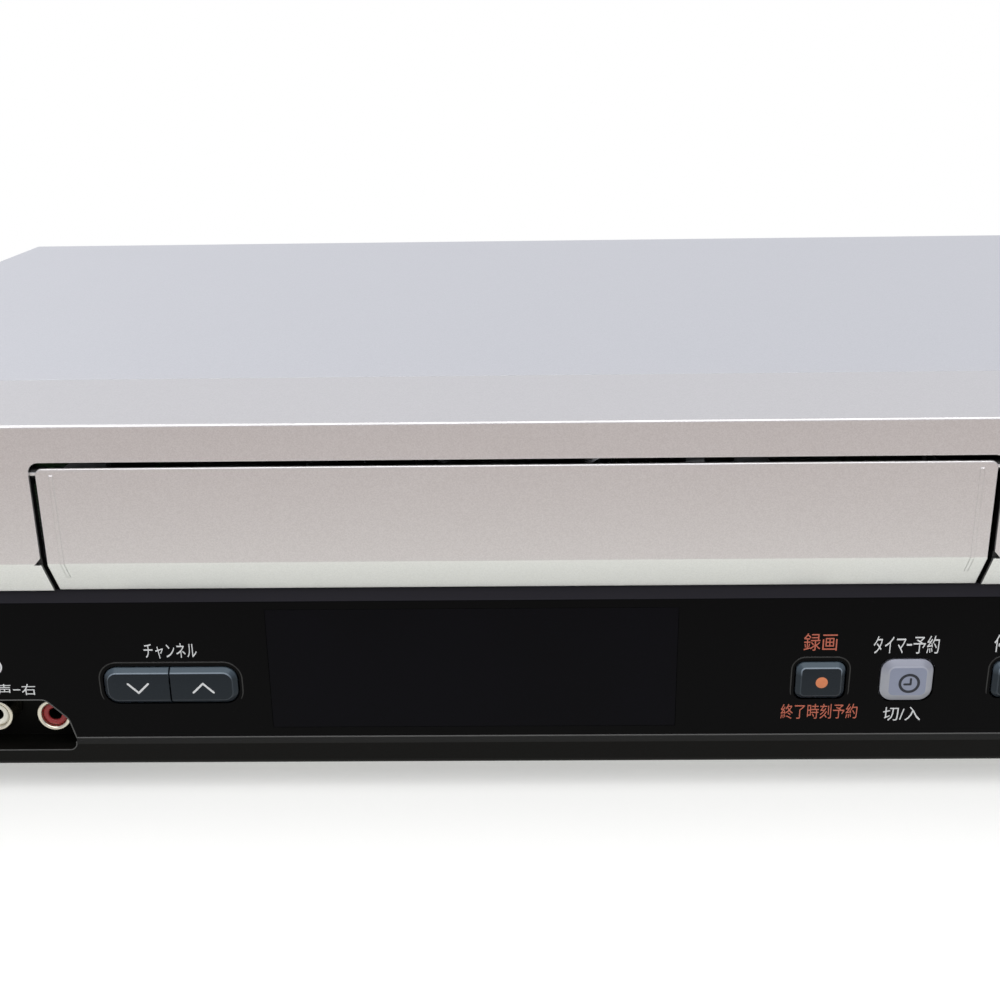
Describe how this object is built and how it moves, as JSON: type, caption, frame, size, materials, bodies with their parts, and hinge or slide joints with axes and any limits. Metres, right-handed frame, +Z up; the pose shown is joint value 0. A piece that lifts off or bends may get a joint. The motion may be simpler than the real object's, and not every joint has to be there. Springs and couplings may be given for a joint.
{
  "type": "video cassette recorder",
  "caption": "Front-loading video cassette recorder with a hinged cassette door, key row, tape deck with tilted head drum, and sliding, dropping cassette holder.",
  "frame": {"origin": "under the middle of the recorder, on the surface that it stands on", "axes": "+Z up, front faces -Y, +X to the right as seen from the front"},
  "size_m": [0.43, 0.284, 0.094],
  "materials": {
    "cover_paint": "satin silver paint",
    "silver_plastic": "satin metallic silver",
    "black_gloss": "polished black",
    "black_matt": "fine matt black",
    "smoked_window": "smoked acrylic",
    "key_dark": "satin dark grey",
    "key_silver": "satin grey",
    "zinc_steel": "zinc plated",
    "machined": "turned",
    "board": "laminate",
    "package": "moulded",
    "nickel": "nickel plated",
    "red_plastic": "moulded",
    "white_plastic": "moulded",
    "yellow_plastic": "moulded",
    "rubber": "matt",
    "gear_plastic": "natural acetal",
    "tube_glass": "clear",
    "transformer_core": "lacquered"
  },
  "bodies": {
    "housing": {"top_cover": "cover_paint", "front_bezel": "silver_plastic", "lower_panel": "black_gloss", "bottom_rail": "black_matt", "display_window": "smoked_window", "door_spring": "zinc_steel", "jack_panel": "black_matt", "right_audio_jack": "red_plastic", "left_audio_jack": "white_plastic", "video_jack": "yellow_plastic", "bottom_chassis": "zinc_steel", "feet": "black_matt", "cover_screws": "nickel", "rear_panel": "zinc_steel", "tuner_box": "nickel", "rear_jack_block": "package", "mains_inlet": "package", "main_board": "board", "board_parts": "package", "transformer": "transformer_core", "power_capacitors": "package", "front_board": "board", "display_tube": "tube_glass", "deck_chassis": "zinc_steel", "drum_base": "machined", "lower_drum": "machined", "drum_motor": "board", "capstan_motor": "zinc_steel", "reel_belt": "rubber", "full_erase_head": "package", "audio_control_head": "nickel", "loading_motor": "nickel", "carriage_sides": "zinc_steel"},
    "door": {"cassette_door": "silver_plastic"},
    "carriage_slider": {"carriage_slider": "zinc_steel"},
    "cassette_holder": {"cassette_holder": "zinc_steel"},
    "carriage_gear": {"carriage_gear": "gear_plastic"},
    "cam_gear": {"cam_gear": "gear_plastic"},
    "loading_pinion": {"loading_pinion": "gear_plastic"},
    "supply_guide": {"supply_guide": "zinc_steel"},
    "take_up_guide": {"take_up_guide": "zinc_steel"},
    "upper_drum": {"upper_drum": "machined"},
    "capstan": {"capstan": "zinc_steel"},
    "reel_pulley": {"reel_pulley": "gear_plastic"},
    "pinch_arm": {"pinch_arm": "zinc_steel"},
    "pinch_roller": {"pinch_roller": "rubber"},
    "supply_reel": {"supply_reel": "gear_plastic"},
    "take_up_reel": {"take_up_reel": "gear_plastic"},
    "idler_arm": {"idler_arm": "zinc_steel"},
    "idler_wheel": {"idler_wheel": "rubber"},
    "tension_arm": {"tension_arm": "zinc_steel"},
    "record_button": {"record_button": "key_dark"},
    "timer_button": {"timer_button": "key_silver"},
    "stop_eject_button": {"stop_eject_button": "key_dark"},
    "play_button": {"play_button": "key_dark"},
    "rewind_button": {"rewind_button": "key_dark"},
    "forward_button": {"forward_button": "key_dark"},
    "power_button": {"power_button": "key_dark"},
    "channel_down_button": {"channel_down_button": "key_dark"},
    "channel_up_button": {"channel_up_button": "key_dark"}
  },
  "joints": [
    {"name": "door_hinge", "type": "hinge", "parent": "housing", "child": "door", "pos_m": [-0.012, -0.1401, 0.082], "axis": [1, 0, 0], "range_deg": [0, 88], "stiffness_Nm_per_rad": 0.004, "springref_deg": -20.05},
    {"name": "carriage_slide", "type": "slide", "parent": "housing", "child": "carriage_slider", "axis": [0, 1, 0], "range_m": [-0.066, 0]},
    {"name": "holder_drop", "type": "slide", "parent": "carriage_slider", "child": "cassette_holder", "axis": [0, 0, -1], "range_m": [0, 0.0234]},
    {"name": "carriage_gear_turn", "type": "hinge", "parent": "housing", "child": "carriage_gear", "pos_m": [0.0872, -0.034, 0.0751], "axis": [1, 0, 0], "range_deg": [-475, 0]},
    {"name": "cam_turn", "type": "hinge", "parent": "housing", "child": "cam_gear", "pos_m": [-0.078, 0.036, 0.015], "axis": [0, 0, 1], "range_deg": [0, 270]},
    {"name": "pinion_turn", "type": "hinge", "parent": "housing", "child": "loading_pinion", "pos_m": [-0.09921, 0.05721, 0.015], "axis": [0, 0, 1], "range_deg": [-1085, 0]},
    {"name": "supply_guide_slide", "type": "slide", "parent": "housing", "child": "supply_guide", "axis": [-0.1644, 0.9864, 0], "range_m": [0, 0.0669]},
    {"name": "take_up_guide_slide", "type": "slide", "parent": "housing", "child": "take_up_guide", "axis": [0.1644, 0.9864, 0], "range_m": [0, 0.0669]},
    {"name": "drum_spin", "type": "hinge", "parent": "housing", "child": "upper_drum", "pos_m": [-0.012, 0.047, 0.043], "axis": [0.1045, 0, 0.9945], "continuous": true},
    {"name": "capstan_spin", "type": "hinge", "parent": "housing", "child": "capstan", "pos_m": [0.032, -0.003, 0.024], "axis": [0, 0, 1], "continuous": true},
    {"name": "reel_pulley_spin", "type": "hinge", "parent": "housing", "child": "reel_pulley", "pos_m": [-0.012, -0.07, 0.024], "axis": [0, 0, 1], "continuous": true},
    {"name": "pinch_swing", "type": "hinge", "parent": "housing", "child": "pinch_arm", "pos_m": [0.058, 0.02, 0.03], "axis": [0, 0, 1], "range_deg": [0, 18]},
    {"name": "pinch_roller_spin", "type": "hinge", "parent": "pinch_arm", "child": "pinch_roller", "pos_m": [0.03308, 0.01238, 0.035], "axis": [0, 0, 1], "continuous": true},
    {"name": "supply_reel_spin", "type": "hinge", "parent": "housing", "child": "supply_reel", "pos_m": [-0.05825, -0.052, 0.024], "axis": [0, 0, 1], "continuous": true},
    {"name": "take_up_reel_spin", "type": "hinge", "parent": "housing", "child": "take_up_reel", "pos_m": [0.03425, -0.052, 0.024], "axis": [0, 0, 1], "continuous": true},
    {"name": "idler_swing", "type": "hinge", "parent": "housing", "child": "idler_arm", "pos_m": [-0.012, -0.07, 0.024], "axis": [0, 0, 1], "range_deg": [-34, 34]},
    {"name": "idler_spin", "type": "hinge", "parent": "idler_arm", "child": "idler_wheel", "pos_m": [-0.012, -0.0507, 0.024], "axis": [0, 0, 1], "continuous": true},
    {"name": "tension_swing", "type": "hinge", "parent": "housing", "child": "tension_arm", "pos_m": [-0.082, 0.024, 0.024], "axis": [0, 0, 1], "range_deg": [-10, 10], "stiffness_Nm_per_rad": 0.01},
    {"name": "record_press", "type": "slide", "parent": "housing", "child": "record_button", "axis": [0, 1, 0], "range_m": [0, 0.0008], "stiffness_N_per_m": 800, "springref_m": -0.0004},
    {"name": "timer_press", "type": "slide", "parent": "housing", "child": "timer_button", "axis": [0, 1, 0], "range_m": [0, 0.0008], "stiffness_N_per_m": 800, "springref_m": -0.0004},
    {"name": "stop_eject_press", "type": "slide", "parent": "housing", "child": "stop_eject_button", "axis": [0, 1, 0], "range_m": [0, 0.0008], "stiffness_N_per_m": 800, "springref_m": -0.0004},
    {"name": "play_press", "type": "slide", "parent": "housing", "child": "play_button", "axis": [0, 1, 0], "range_m": [0, 0.0008], "stiffness_N_per_m": 800, "springref_m": -0.0004},
    {"name": "rewind_press", "type": "slide", "parent": "housing", "child": "rewind_button", "axis": [0, 1, 0], "range_m": [0, 0.0008], "stiffness_N_per_m": 800, "springref_m": -0.0004},
    {"name": "forward_press", "type": "slide", "parent": "housing", "child": "forward_button", "axis": [0, 1, 0], "range_m": [0, 0.0008], "stiffness_N_per_m": 800, "springref_m": -0.0004},
    {"name": "power_press", "type": "slide", "parent": "housing", "child": "power_button", "axis": [0, 1, 0], "range_m": [0, 0.0008], "stiffness_N_per_m": 800, "springref_m": -0.0004},
    {"name": "channel_down_press", "type": "slide", "parent": "housing", "child": "channel_down_button", "axis": [0, 1, 0], "range_m": [0, 0.0008], "stiffness_N_per_m": 800, "springref_m": -0.0004},
    {"name": "channel_up_press", "type": "slide", "parent": "housing", "child": "channel_up_button", "axis": [0, 1, 0], "range_m": [0, 0.0008], "stiffness_N_per_m": 800, "springref_m": -0.0004}
  ],
  "couplings": [
    {"joint": "carriage_gear_turn", "follows": "carriage_slide", "rad_per_m": 125},
    {"joint": "pinion_turn", "follows": "cam_turn", "ratio": -4},
    {"joint": "supply_guide_slide", "follows": "cam_turn", "m_per_rad": 0.014197},
    {"joint": "take_up_guide_slide", "follows": "cam_turn", "m_per_rad": 0.014197},
    {"joint": "reel_pulley_spin", "follows": "capstan_spin", "ratio": 0.61538}
  ]
}
